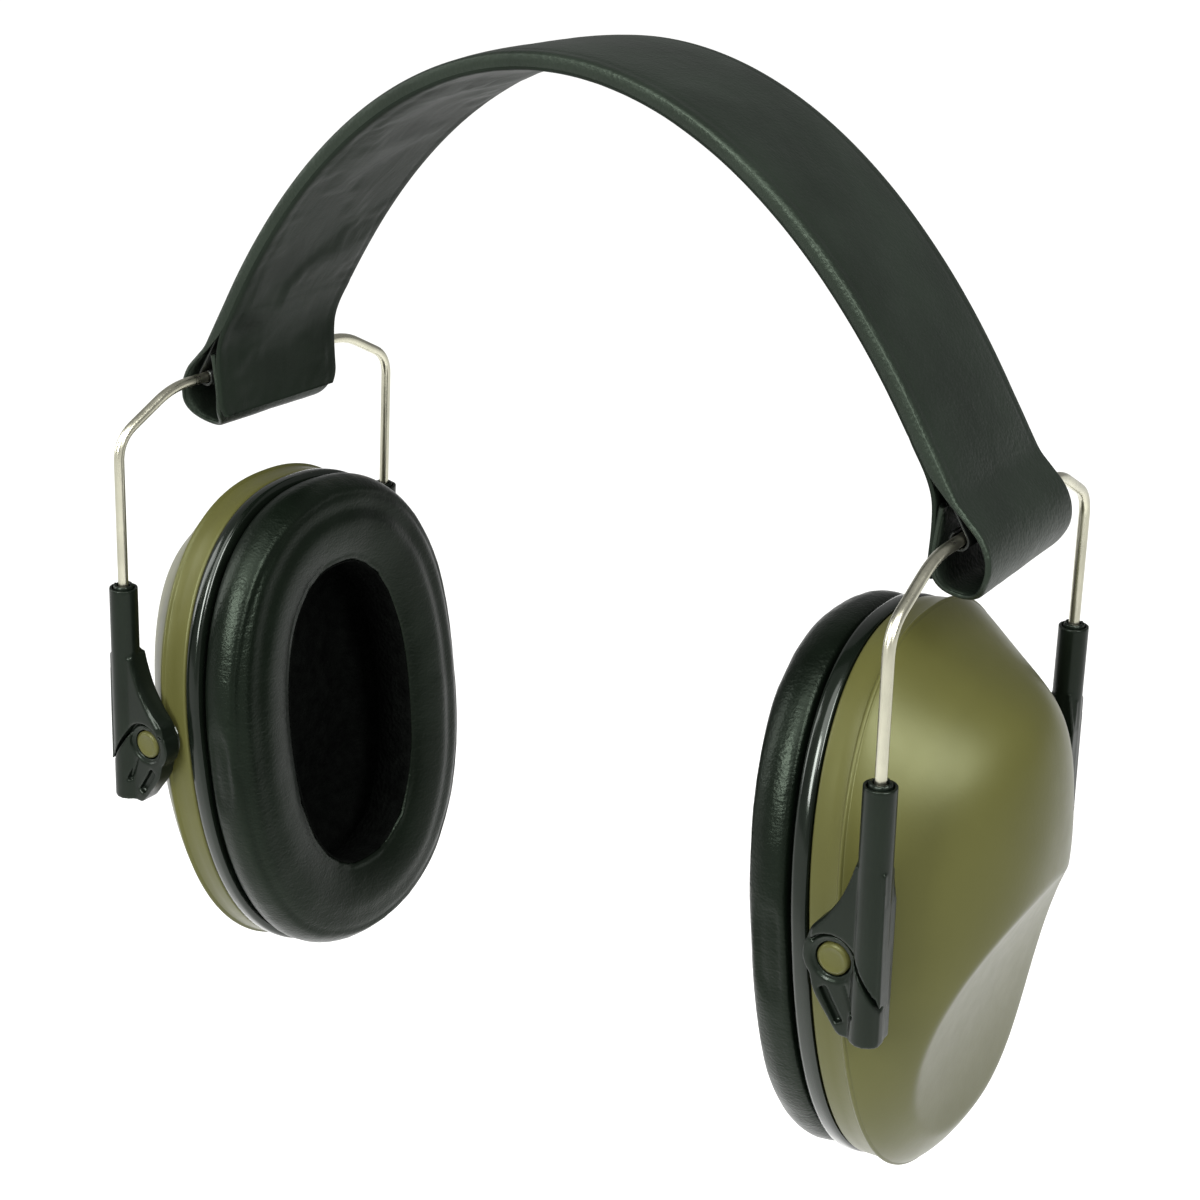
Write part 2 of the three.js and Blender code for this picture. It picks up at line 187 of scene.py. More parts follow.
def lathe_y(profile, segments):
    """A solid of revolution about Y from (radius, y) points that start and end on the axis."""
    turns = np.linspace(0, 2 * math.pi, segments, endpoint=False)
    verts, faces = [], []
    inner = profile[1:-1]
    for radius, y in inner:
        for t in turns:
            verts.append((radius * math.cos(t), y, radius * math.sin(t)))
    faces += grid_faces(len(inner), segments, close_cols=True)
    first, last = len(verts), len(verts) + 1
    verts += [(0, profile[0][1], 0), (0, profile[-1][1], 0)]
    top = (len(inner) - 1) * segments
    for i in range(segments):
        j = (i + 1) % segments
        faces.append((first, j, i))
        faces.append((last, top + i, top + j))
    v = np.array(verts)
    return v, oriented(v, faces)


def oriented(verts, faces):
    """The same closed faces, all turned to point outward."""
    v = np.asarray(verts)
    volume = 0.0
    for f in faces:
        for k in range(1, len(f) - 1):
            volume += np.dot(v[f[0]], np.cross(v[f[k]], v[f[k + 1]]))
    return faces if volume > 0 else [f[::-1] for f in faces]


def smoothstep(x):
    x = np.clip(x, 0, 1)
    return x * x * (3 - 2 * x)


def blob(x, y, z, scale):
    return noise.noise(Vector((x, y, z)) * scale)


# ---------------------------------------------------------------- materials

GREENISH = (0.80, 1.0, 0.78)


class Material:
    """A principled material with small helpers for its procedural detail."""

    def __init__(self, name, color, roughness, metallic=0.0, specular=0.5, coat=0.0, tint=(1, 1, 1)):
        self.data = bpy.data.materials.new(name)
        self.data.use_nodes = True
        self.tree = self.data.node_tree
        self.shader = self.tree.nodes["Principled BSDF"]
        self.shader.inputs["Base Color"].default_value = (*color, 1)
        self.shader.inputs["Roughness"].default_value = roughness
        self.shader.inputs["Metallic"].default_value = metallic
        self.shader.inputs["Specular IOR Level"].default_value = specular
        self.shader.inputs["Specular Tint"].default_value = (*tint, 1)
        self.shader.inputs["Coat Weight"].default_value = coat
        self.shader.inputs["Coat Roughness"].default_value = 0.12
        self.color = color
        self.roughness = roughness
        self.coords = self.tree.nodes.new("ShaderNodeTexCoord").outputs["Object"]
        self.normal = None

    def node(self, kind, **values):
        made = self.tree.nodes.new(kind)
        for key, value in values.items():
            if hasattr(made, key):
                setattr(made, key, value)
            else:
                made.inputs[key.replace("_", " ")].default_value = value
        return made

    def link(self, a, b):
        self.tree.links.new(a, b)

    def stretched(self, scale):
        mapping = self.node("ShaderNodeMapping", Scale=scale)
        self.link(self.coords, mapping.inputs["Vector"])
        return mapping.outputs["Vector"]

    def noise(self, scale, detail=4.0, stretch=(1, 1, 1), distortion=0.0):
        tex = self.node("ShaderNodeTexNoise", Scale=scale, Detail=detail, Distortion=distortion)
        self.link(self.stretched(stretch), tex.inputs["Vector"])
        return tex.outputs["Fac"]

    def cells(self, scale):
        tex = self.node("ShaderNodeTexVoronoi", Scale=scale)
        self.link(self.stretched((1, 1, 1)), tex.inputs["Vector"])
        return tex.outputs["Distance"]

    def ramp(self, source, low, high, colors):
        ramp = self.node("ShaderNodeValToRGB")
        ramp.color_ramp.elements[0].position = low
        ramp.color_ramp.elements[1].position = high
        for element, value in zip(ramp.color_ramp.elements, colors):
            element.color = (*value, 1)
        self.link(source, ramp.inputs["Fac"])
        return ramp.outputs["Color"]

    def vary_color(self, scale, amount, detail=5.0):
        """Two close shades of the base colour, mixed by a broad noise."""
        dark = tuple(c * (1 - amount) for c in self.color)
        light = tuple(min(1, c * (1 + amount)) for c in self.color)
        self.link(self.ramp(self.noise(scale, detail), 0.3, 0.7, (dark, light)),
                  self.shader.inputs["Base Color"])

    def vary_roughness(self, scale, amount, stretch=(1, 1, 1)):
        spread = self.node("ShaderNodeMapRange")
        spread.inputs["To Min"].default_value = self.roughness - amount
        spread.inputs["To Max"].default_value = self.roughness + amount
        self.link(self.noise(scale, 6.0, stretch), spread.inputs["Value"])
        self.link(spread.outputs["Result"], self.shader.inputs["Roughness"])

    def bump(self, height, strength, distance):
        node = self.node("ShaderNodeBump", Strength=strength, Distance=distance)
        self.link(height, node.inputs["Height"])
        if self.normal is not None:
            self.link(self.normal, node.inputs["Normal"])
        self.normal = node.outputs["Normal"]
        self.link(self.normal, self.shader.inputs["Normal"])


def band_vinyl():
    m = Material("band_vinyl", (0.005, 0.007, 0.005), 0.44, specular=0.20, tint=GREENISH)
    m.vary_color(60, 0.3)
    m.vary_roughness(140, 0.07)
    m.bump(m.cells(1500), 0.30, 0.0002)
    m.bump(m.noise(900, 6.0), 0.25, 0.0002)
    return m.data


def lining_vinyl():
    m = Material("lining_vinyl", (0.005, 0.007, 0.005), 0.46, specular=0.06, tint=GREENISH)
    m.vary_color(50, 0.28)
    m.vary_roughness(110, 0.07)
    m.bump(m.noise(2200, 5.0), 0.22, 0.0002)
    m.bump(m.noise(90, 3.0, (1, 1.6, 0.7), 0.6), 0.25, 0.001)
    return m.data


def cushion_vinyl():
    m = Material("cushion_vinyl", (0.0015, 0.0025, 0.0015), 0.32, specular=0.12, tint=GREENISH)
    m.vary_color(70, 0.3)
    m.vary_roughness(160, 0.06)
    m.bump(m.cells(1900), 0.16, 0.0002)
    m.bump(m.noise(420, 5.0, (1, 1, 2.2), 1.2), 0.30, 0.0003)
    return m.data


def olive_plastic():
    m = Material("olive_plastic", (0.038, 0.0375, 0.0105), 0.36, specular=0.22, tint=(0.90, 0.96, 0.60))
    m.vary_color(35, 0.08)
    m.vary_roughness(300, 0.04)
    m.bump(m.noise(1600, 3.0), 0.10, 0.0001)
    return m.data


def black_plastic(name, roughness, coat):
    m = Material(name, (0.002, 0.003, 0.002), roughness, specular=0.12, coat=coat, tint=GREENISH)
    m.vary_color(90, 0.25)
    m.vary_roughness(500, 0.06)
    m.bump(m.noise(1300, 4.0), 0.12, 0.0001)
    return m.data


def drawn_steel():
    m = Material("drawn_steel", (0.44, 0.43, 0.34), 0.29, metallic=1.0)
    m.vary_color(160, 0.10)
    m.vary_roughness(900, 0.08, (1, 1, 0.05))
    m.bump(m.noise(2600, 3.0, (1, 1, 0.04)), 0.10, 0.0001)
    return m.data


def strip_steel_painted_shade():
    # Metal strip whose colour is darkened far below bare steel: painted shade for the dim inside of the hem
    # where the strip curls.
    m = Material("strip_steel_painted_shade", (0.03, 0.032, 0.03), 0.34, metallic=1.0)
    m.vary_color(120, 0.3)
    m.vary_roughness(700, 0.1, (0.1, 1, 1))
    return m.data


def open_foam():
    m = Material("open_foam", (0.0012, 0.0014, 0.0012), 0.95, specular=0.02)
    m.vary_color(400, 0.5)
    m.bump(m.cells(1100), 0.7, 0.0006)
    m.bump(m.noise(700, 6.0), 0.5, 0.0006)
    return m.data


def pale_floor():
    m = Material("pale_floor", (0.93, 0.93, 0.92), 0.75, specular=0.1)
    m.vary_roughness(6, 0.05)
    return m.data


BAND = band_vinyl()
LINING = lining_vinyl()
CUSHION = cushion_vinyl()
OLIVE = olive_plastic()
ARM_BLACK = black_plastic("arm_black", 0.34, 0.1)
RIM_BLACK = black_plastic("rim_black", 0.20, 0.4)
STEEL = drawn_steel()
STRIP_PAINTED_SHADE = strip_steel_painted_shade()
FOAM = open_foam()


# ---------------------------------------------------------------- headband

BAND_HALF_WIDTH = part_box("headband_outer_cover")[1][1] / MM
BAND_THICKNESS = 3.5
BAND_RADIUS_X = 106.6
BAND_RADIUS_Z = 195.5
BAND_END = math.radians(42.5)
STRIP_OFFSET = 0.5
PAD_OFFSET = -0.1
LINING_OFFSET = -0.9
STRIP_HALF_THICKNESS = 0.25
PAD_HALF_THICKNESS = 0.25
STRIP_CURL_RADIUS = 1.55
CREASE_HEIGHT = 1.1
PATH_POINTS = 420
SHEET = 0.8
HEM_RADIUS = 4.5
HEM_OUT = 0.9
HEM_BELOW = 4.9
HEM_LEG = 10.9
FOLD_POINT = np.array(joints["fold_right"]["pos_m"])[[0, 2]] / MM
HEM_CENTRE = FOLD_POINT + (HEM_OUT, -HEM_BELOW)
HEM_CURVE = [(-4.8, 12.3), (-2.6, 8.7), (-0.9, 6.1), (1.4, 3.8), (3.9, 1.2), (5.4, -2.0), (5.4, -5.4),
             (3.6, -8.7), (0.5, -10.1), (-2.3, -9.1), (-3.7, -6.3), (-4.0, -2.4), (-3.6, 1.6), (-3.2, 5.2)]


def band_arc(offset, end=BAND_END, count=120):
    """Right half of a line parallel to the band's elliptical centre line."""
    t = np.linspace(0, end, count)
    normal = np.stack([BAND_RADIUS_Z * np.sin(t), BAND_RADIUS_X * np.cos(t)], 1)
    normal /= np.linalg.norm(normal, axis=1)[:, None]
    centre = np.stack([BAND_RADIUS_X * np.sin(t),
                       BAND_RADIUS_Z * (np.cos(t) - 1) + BAND_THICKNESS / 2], 1)
    return centre + normal * offset


def roll_round(start, centre, radius, end_angle, count):
    """From a point straight to a circle's outer side, then round underneath it."""
    reach = start - centre
    first = math.atan2(reach[1], reach[0]) - math.acos(radius / np.linalg.norm(reach))
    angles = np.linspace(first, end_angle, count)
    return centre + radius * np.stack([np.cos(angles), np.sin(angles)], 1)


def full_path(half, count):
    """The path from the left end to the right one, and its outward normals."""
    left = half[1:][::-1] * (-1, 1)
    path = resample(np.concatenate([left, half]), count)
    along = np.gradient(path, axis=0)
    along /= np.linalg.norm(along, axis=1)[:, None]
    return path, np.stack([-along[:, 1], along[:, 0]], 1)


def sweep(path, normals, sections):
    """A closed solid from one closed (y, offset) section loop for each path point, in metres."""
    rows, cols = len(path), len(sections[0])
    verts = np.zeros((rows * cols, 3))
    for i, section in enumerate(sections):
        block = verts[i * cols:(i + 1) * cols]
        block[:, 0] = path[i, 0] + normals[i, 0] * section[:, 1]
        block[:, 1] = section[:, 0]
        block[:, 2] = path[i, 1] + normals[i, 1] * section[:, 1]
    faces = grid_faces(rows, cols, close_cols=True)
    verts = list(verts)
    for ring in (0, rows - 1):
        loop = [ring * cols + k for k in range(cols)]
        verts.append(np.mean([verts[k] for k in loop], axis=0))
        tip = len(verts) - 1
        for k in range(cols):
            a, b = loop[k], loop[(k + 1) % cols]
            faces.append((a, tip, b) if ring else (b, tip, a))
    verts = np.array(verts) * MM
    return verts, oriented(verts, faces)


def sheet_section(half_width, flange, crown, groove, facing):
    """A sheet's section loop with turned-in edges; facing is +1 for the cover, -1 for the lining."""
    r = SHEET * 0.9
    y = np.linspace(-half_width + r, half_width - r, 61)
    share = y / half_width
    face = SHEET / 2 + crown * (1 - share**4)
    edge = np.abs(np.abs(y) - (half_width - 2.6))
    face -= groove * np.exp(-(edge / 0.35) ** 2)
    turn = np.linspace(0, math.pi / 2, 7)[1:-1]
    right = np.stack([half_width - r + r * np.sin(turn), SHEET / 2 - r + r * np.cos(turn)], 1)
    low = SHEET / 2 - r - flange
    tip = np.array([(half_width, low), (half_width - 0.25, low - 0.2), (half_width - SHEET, low)])
    back_y = np.linspace(half_width - SHEET, -half_width + SHEET, 21)
    back = np.stack([back_y, np.full(21, -SHEET / 2)], 1)
    left = right[::-1] * (-1, 1)
    left_tip = tip[::-1] * (-1, 1)
    loop = np.concatenate([np.stack([y, face], 1), right, tip, back, left_tip, left])
    return loop * (1, facing)


def headband_cover():
    offset = (BAND_THICKNESS - SHEET) / 2
    arc = band_arc(offset)
    hem = FOLD_POINT + np.array(HEM_CURVE)
    half = np.concatenate([arc[:-1], smooth_curve(np.concatenate([arc[-1:], hem]), 110)])
    path, normals = full_path(half, PATH_POINTS)
    reach = np.linalg.norm(path - HEM_CENTRE * np.sign(path[:, :1] + 1e-9) ** (1, 0), axis=1)
    sections = []
    for (x, z), near in zip(path, reach):
        on_band = smoothstep((near - 9) / 9)
        bottom = np.clip((HEM_CENTRE[1] - z) / 5.2, 0, 1)
        half_width = BAND_HALF_WIDTH - 3.2 * bottom**2
        section = sheet_section(half_width, 1.5 * on_band + 0.05, 0.55 * on_band, 0.18 * on_band, 1)
        wave = np.array([0.16 * blob(x, y, z, 0.09) + 0.05 * blob(x, y, z, 0.4) for y in section[:, 0]])
        section[:, 1] += wave * (1 - np.abs(section[:, 0]) / (BAND_HALF_WIDTH + 1))
        sections.append(section)
    verts, faces = sweep(path, normals, sections)
    add_piece("headband_cover_skin", verts, faces, "headband", BAND,
              ["headband_outer_cover"])


def buckled_sheet(rows, cols, length, width, seed):
    """Heights of a flat sheet that is a little too long for its pinned edges, by cloth simulation."""
    rng = np.random.default_rng(seed)
    x, y = np.meshgrid(np.linspace(0, length, rows), np.linspace(0, width, cols), indexing="ij")
    z = rng.normal(0, 0.02, x.shape)
    for i in range(rows):
        for j in range(cols):
            z[i, j] += 0.35 * blob(x[i, j] + 0.7 * y[i, j], 0.8 * y[i, j], seed, 0.07)
    verts = np.stack([x, y, z], -1).reshape(-1, 3)
    obj = make_object("sheet_sim", verts * MM * 10, grid_faces(rows, cols))
    pinned = [i * cols + j for i in range(rows) for j in range(cols)
              if j in (0, cols - 1) or i in (0, rows - 1)]
    group = obj.vertex_groups.new(name="pin")
    group.add(pinned, 1.0, "REPLACE")
    heights = run_cloth(obj, group.name, pressure=0.0, shrink=-0.035, bending=0.6, frames=22)
    discard(obj)
    return heights[:, 2].reshape(rows, cols) / MM / 10


def run_cloth(obj, pin_group, pressure, shrink, bending, frames):
    """Runs Blender's cloth on an object, and returns the vertices it ends with."""
    modifier = obj.modifiers.new("cloth", "CLOTH")
    settings = modifier.settings
    settings.quality = 6
    settings.mass = 0.15
    settings.tension_stiffness = 20
    settings.compression_stiffness = 20
    settings.shear_stiffness = 8
    settings.bending_stiffness = bending
    settings.air_damping = 3
    settings.vertex_group_mass = pin_group
    settings.shrink_min = shrink
    settings.effector_weights.gravity = 0
    if pressure:
        settings.use_pressure = True
        settings.uniform_pressure_force = pressure
    modifier.point_cache.frame_start = 1
    modifier.point_cache.frame_end = frames
    scene = bpy.context.scene
    for f in range(1, frames + 1):
        scene.frame_set(f)
    verts, _ = mesh_arrays(obj)
    scene.frame_set(1)
    return verts


def headband_lining():
    leg_x = HEM_CENTRE[0] - HEM_RADIUS - SHEET - 0.25
    half = np.concatenate([
        band_arc(LINING_OFFSET),
        [(leg_x, HEM_CENTRE[1] + HEM_LEG), (leg_x, HEM_CENTRE[1] - HEM_RADIUS * 0.55)],
    ])
    path, normals = full_path(smooth_curve(half, 300), PATH_POINTS)
    rows, cols = 130, 19
    creases = buckled_sheet(rows, cols, 260, 2 * BAND_HALF_WIDTH, 4)
    peak = np.abs(creases).max() or 1.0
    creases = np.clip(creases / peak, -0.25, 1) * CREASE_HEIGHT
    sections = []
    for i, (x, z) in enumerate(path):
        on_band = smoothstep((z - FOLD_POINT[1] - 6) / 12)
        bottom = np.clip((HEM_CENTRE[1] + 1 - z) / 4.5, 0, 1)
        section = sheet_section(BAND_HALF_WIDTH - 0.1 - 2.0 * bottom**2, 0.5 * on_band + 0.05,
                                0.25 * on_band, 0.12, -1)
        row = i / (len(path) - 1) * (rows - 1)
        low, part = int(min(row, rows - 2)), row - int(min(row, rows - 2))
        line = creases[low] * (1 - part) + creases[low + 1] * part
        across = (section[:, 0] / BAND_HALF_WIDTH + 1) / 2 * (cols - 1)
        lift = np.interp(across, np.arange(cols), line)
        soft = np.array([0.22 * blob(x * 1.2, y, z, 0.06) for y in section[:, 0]])
        outer = section[:, 1] < -SHEET / 4
        section[:, 1] -= np.where(outer, lift + soft, 0) * (1 - (section[:, 0] / BAND_HALF_WIDTH) ** 6)
        sections.append(section)
    verts, faces = sweep(path, normals, sections)
    add_piece("headband_lining_skin", verts, faces, "headband", LINING,
              ["headband_inner_lining"])


def headband_core():
    """The foam pad and the spring strip between the two skins."""
    half_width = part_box("headband_foam_pad")[1][1] / MM
    path, normals = full_path(band_arc(PAD_OFFSET, BAND_END - math.radians(2)), 200)
    turns = np.linspace(0, 2 * math.pi, 40, endpoint=False)
    loop = np.stack([half_width * np.cos(turns), PAD_HALF_THICKNESS * np.sin(turns)], 1)
    loop[:, 0] = half_width * np.sign(np.cos(turns)) * np.abs(np.cos(turns)) ** 0.35
    verts, faces = sweep(path, normals, [loop] * len(path))
    pad = add_piece("headband_pad", verts, faces, "headband", FOAM, ["headband_foam_pad"])
    arc = band_arc(STRIP_OFFSET)
    half = np.concatenate([arc, roll_round(arc[-1], FOLD_POINT, STRIP_CURL_RADIUS, -1.35 * math.pi, 60)])
    path, normals = full_path(half, PATH_POINTS)
    strip_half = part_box("headband_spring_strip")[1][1] / MM
    y = strip_half - 0.1
    h = STRIP_HALF_THICKNESS
    loop = np.array([(-y, h), (0, h), (y, h), (y + 0.1, 0), (y, -h), (0, -h), (-y, -h), (-y - 0.1, 0)])
    verts, faces = sweep(path, normals, [loop] * len(path))
    # The strip's material carries painted shade for the inside of the hem.
    add_piece("headband_strip", verts, faces, "headband", STRIP_PAINTED_SHADE,
              ["headband_spring_strip"])


# ---------------------------------------------------------------- yoke wires

WIRE_RADIUS = 1.0
BAR_HALF_LENGTH = 25.6
SHOULDER_DROP = 7.3
WIRE_BEND = 4.4


def wire_route():
    """The yoke's centre line in the yoke frame, in millimetres, with rounded bends."""
    low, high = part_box("yoke_wire_right")
    leg_y = high[1] / MM - WIRE_RADIUS
    leg_end = low[2] / MM - FRAMES["right"]["yoke"][2, 3] / MM
    corners = np.array([(-leg_y, leg_end), (-leg_y, -SHOULDER_DROP), (-BAR_HALF_LENGTH, 0),
                        (BAR_HALF_LENGTH, 0), (leg_y, -SHOULDER_DROP), (leg_y, leg_end)])
    line = [corners[0]]
    for before, corner, after in zip(corners, corners[1:], corners[2:]):
        entry = corner + unit(before - corner) * WIRE_BEND
        leave = corner + unit(after - corner) * WIRE_BEND
        for t in np.linspace(0, 1, 14):
            line.append(entry * (1 - t) ** 2 + corner * 2 * t * (1 - t) + leave * t**2)
    line.append(corners[-1])
    dense = []
    for a, b in zip(line, line[1:]):
        steps = max(2, int(np.linalg.norm(b - a) / 1.5))
        dense += [a + (b - a) * k / steps for k in range(steps)]
    return np.array(dense + [line[-1]])


def yoke_wire(side):
    line = wire_route()
    along = np.gradient(line, axis=0)
    along /= np.linalg.norm(along, axis=1)[:, None]
    normals = np.stack([-along[:, 1], along[:, 0]], 1)
    cols = 20
    turns = np.linspace(0, 2 * math.pi, cols, endpoint=False)
    radii = np.full(len(line), WIRE_RADIUS)
    radii[0] = radii[-1] = WIRE_RADIUS * 0.75
    verts = []
    for p, n, r in zip(line, normals, radii):
        for t in turns:
            y, z = p + n * r * math.cos(t)
            verts.append((r * math.sin(t), y, z))
    faces = grid_faces(len(line), cols, close_cols=True)
    faces.append(tuple(range(cols)))
    faces.append(tuple(range((len(line) - 1) * cols, len(line) * cols))[::-1])
    v = np.array(verts) * MM
    v, f = placed(v, oriented(v, faces), FRAMES[side]["yoke"])
    add_piece(f"yoke_{side}_wire", v, f, f"yoke_{side}", STEEL, [f"yoke_wire_{side}"])


# ---------------------------------------------------------------- arms

ARM_TOP = 32.2
ARM_FOOT = -13.4
ARM_INNER_Y = 37.3
ARM_FACE_Y = 41.2
ARM_RAISED_Y = 41.9
LEG_Y = 40.0
PIN_X = -PIN_OFFSET / MM
EYE_RADIUS = 5.4
PIN_RADIUS = 2.8
COLLAR_RADIUS = 4.5
RING_RADIUS = 3.9
COLUMN_RADII = (2.85, 2.75)
WIRE_BORE = 1.3
BUSH_SEAT = 2.2
VOXEL = 0.24


def prism(outline, y0, y1, name):
    """A solid from an (x, z) outline between two y places."""
    n = len(outline)
    verts = [(x, y0, z) for x, z in outline] + [(x, y1, z) for x, z in outline]
    faces = [(i, (i + 1) % n, n + (i + 1) % n, n + i) for i in range(n)]
    faces += [tuple(range(n))[::-1], tuple(range(n, 2 * n))]
    return make_object(name, np.array(verts) * MM, oriented(np.array(verts), faces), smooth=False)


def post(radius_low, radius_high, z0, z1, name, sides=48):
    """An upright cylinder or cone on the wire's line of the front arm."""
    turns = np.linspace(0, 2 * math.pi, sides, endpoint=False)
    verts = [(r * math.cos(t), -LEG_Y + r * math.sin(t), z)
             for r, z in ((radius_low, z0), (radius_high, z1)) for t in turns]
    faces = grid_faces(2, sides, close_cols=True)
    faces += [tuple(range(sides)), tuple(range(sides, 2 * sides))[::-1]]
    return make_object(name, np.array(verts) * MM, oriented(np.array(verts), faces), smooth=False)


def disc_outline(x, z, radius, count=64):
    turns = np.linspace(0, 2 * math.pi, count, endpoint=False)
    return [(x + radius * math.cos(t), z + radius * math.sin(t)) for t in turns]


def apply_boolean(target, tool, operation):
    modifier = target.modifiers.new(operation, "BOOLEAN")
    modifier.operation = operation
    modifier.object = tool
    modifier.solver = "EXACT"
    modifier.use_self = True
    verts, faces = mesh_arrays(target)
    name = target.name
    discard(target, tool)
    return make_object(name, verts, faces, smooth=False)


def arm_web_outline():
    """The web from the column to the eye and the foot, in the arm frame."""
    flare = [(-2.75, 18.5), (-3.6, 15.5), (-5.2, 11.5), (-7.6, 7.8), (-10.0, 5.0)]
    eye = [(PIN_X + EYE_RADIUS * math.cos(a), EYE_RADIUS * math.sin(a))
           for a in np.radians(np.linspace(148, 222, 14))]
    lobe = [(-9.2, -6.8), (-6.6, -10.6), (-5.0, -12.8), (-4.2, ARM_FOOT)]
    edge = [(2.2, ARM_FOOT), (2.75, -12.6), (2.75, 12)]
    return [(1.5, 19.5)] + smooth_curve(flare + eye + lobe, 90).tolist() + edge


COLLAR = [(PIN_X + COLLAR_RADIUS * math.cos(a), COLLAR_RADIUS * math.sin(a))
          for a in np.radians(np.linspace(148, 38, 22))]
SEAM_END = (2.9, -6.4)
ARM_GROOVES = (
    ([*COLLAR, SEAM_END, (3.6, -7.0)], 0.65, 1.1),
    ([(PIN_X - 1.6, -5.4), (PIN_X - 0.5, -7.4), (PIN_X + 0.8, -9.5), (PIN_X + 1.7, -11.0)], 1.5, 1.5),
    ([(PIN_X + 2.4, -3.6), (PIN_X + 3.1, -5.6), (PIN_X + 3.9, -7.6), (PIN_X + 4.3, -9.0)], 0.6, 0.6),
)


def arm_raised_outline():
    """The raised upper part: it ends in a collar over the eye and a diagonal step to the edge."""
    web = [(-2.7, 18.0), (-3.5, 15.2), (-5.1, 11.3), (-7.4, 7.6), (-9.6, 4.9)]
    return [SEAM_END, (2.6, 18.0)] + web + COLLAR


def ribbon(line, width):
    """The outline of a narrow strip along a line of points."""
    line = np.asarray(line, float)
    along = np.gradient(line, axis=0)
    along /= np.linalg.norm(along, axis=1)[:, None]
    across = np.stack([-along[:, 1], along[:, 0]], 1) * width / 2
    return np.concatenate([line + across, (line - across)[::-1]]).tolist()


def arm_shape():
    """One front arm's mesh in the arm frame, remeshed and smoothed into a moulding."""
    arm = prism(arm_web_outline(), -ARM_FACE_Y, -ARM_INNER_Y, "arm_work")
    arm = apply_boolean(arm, post(*COLUMN_RADII, ARM_FOOT + 0.2, ARM_TOP, "column"), "UNION")
    raised = prism(arm_raised_outline(), -ARM_RAISED_Y, -ARM_INNER_Y - 1, "raised")
    arm = apply_boolean(arm, raised, "UNION")
    deep = -ARM_RAISED_Y - 1
    for line, width, depth in ARM_GROOVES:
        outline = ribbon(resample(np.array(line), 60), width)
        groove = prism(outline, deep, -ARM_FACE_Y + depth - 0.35, "groove")
        arm = apply_boolean(arm, groove, "DIFFERENCE")
    ring = prism(disc_outline(PIN_X, 0, RING_RADIUS), deep, -ARM_FACE_Y + 0.35, "ring")
    arm = apply_boolean(arm, ring, "DIFFERENCE")
    bore = prism(disc_outline(PIN_X, 0, PIN_RADIUS + 0.3), -ARM_RAISED_Y - 2, -ARM_INNER_Y + 2, "bore")
    arm = apply_boolean(arm, bore, "DIFFERENCE")
    arm = apply_boolean(arm, post(WIRE_BORE, WIRE_BORE, ARM_FOOT + 2, ARM_TOP + 1, "wire_bore"), "DIFFERENCE")
    seat = post(BUSH_SEAT, BUSH_SEAT, ARM_TOP - 3.1, ARM_TOP + 1, "bush_seat")
    arm = apply_boolean(arm, seat, "DIFFERENCE")
    remesh = arm.modifiers.new("remesh", "REMESH")
    remesh.mode = "VOXEL"
    remesh.voxel_size = VOXEL * MM
    relax = arm.modifiers.new("relax", "SMOOTH")
    relax.factor = 0.5
    relax.iterations = 2
    verts, faces = mesh_arrays(arm)
    discard(arm)
    return verts, oriented(verts, faces)


def bush_shape():
    """A front wire bush in the arm frame: a short sleeve with a slightly torn upper lip."""
    bottom, top = ARM_TOP - 2.8, ARM_TOP + 0.6
    section = smooth_curve([(1.25, bottom), (1.9, bottom), (1.92, top - 0.5), (1.7, top),
                            (1.35, top - 0.1), (1.22, top - 0.8)], 26, closed=True)
    cols = 48
    verts = []
    for radius, z in section:
        lip = smoothstep((z - top + 1) / 1)
        for k in range(cols):
            t = 2 * math.pi * k / cols
            tear = 0.28 * lip * blob(2.2 * math.cos(t), 2.2 * math.sin(t), 3.1, 1.1)
            r = radius * (1 + 0.25 * tear)
            verts.append((r * math.cos(t), -LEG_Y + r * math.sin(t), z + tear))
    faces = grid_faces(len(section), cols, close_rows=True, close_cols=True)
    v = np.array(verts) * MM
    return v, oriented(v, faces)


def pin_shape():
    """A front pivot pin in the cup frame: a dished head with a rounded rim, and its shank."""
    face = -ARM_FACE_Y + 0.1
    profile = [(0, face + 0.22), (1.2, face + 0.2), (1.9, face + 0.14), (2.15, face), (2.35, face + 0.05),
               (PIN_RADIUS, face + 0.3), (PIN_RADIUS, -37.6), (2.4, -37.35), (1.65, -37.3),
               (1.6, -36.9), (1.6, -34.4), (1.4, -34.2), (0, -34.2)]
    return lathe_y([(r * MM, y * MM) for r, y in profile], 56)


# ---------------------------------------------------------------- ear cups

OVAL_POWER = 2.3
CUP_CENTRE = -5.0
RIM_WIDTH, RIM_HEIGHT = 36.4, 50.8
RIDGE_WIDTH, RIDGE_HEIGHT = 36.8, 51.0
MOUTH_X = -6.7
RIDGE_X = -0.5
DOME_DEPTH = 22.3
DOME_RISE = 19.7
DOME_DEPTH_POWER = 1.78
DOME_WIDTH_POWER = 0.98
DOME_LIFT_POWER = 2.22
WALL = 2.4
SCOOP_RADIUS = 73.0
SCOOP_X = 78.3
SCOOP_Z = -45.5
SCOOP_EDGE = 0.5
DISH_DEPTH = 3.0
SKIN_THICKNESS = 0.7
PUFF_LIMIT = 0.6


def oval_points(x, width, height, centre, cols):
    turns = np.linspace(0, 2 * math.pi, cols, endpoint=False)
    c, s = np.cos(turns), np.sin(turns)
    stretch = (np.abs(c) ** OVAL_POWER + np.abs(s) ** OVAL_POWER) ** (-1 / OVAL_POWER)
    return np.stack([np.full(cols, x), width * c * stretch, centre + height * s * stretch], 1)


def rim_ring(section, cols):
    """A closed ring whose section is a loop of (inset from the rim, x), in millimetres."""
    rows = [oval_points(x, RIM_WIDTH - inset, RIM_HEIGHT - inset, CUP_CENTRE, cols)
            for inset, x in section]
    v = np.concatenate(rows) * MM
    return v, oriented(v, grid_faces(len(rows), cols, close_rows=True, close_cols=True))


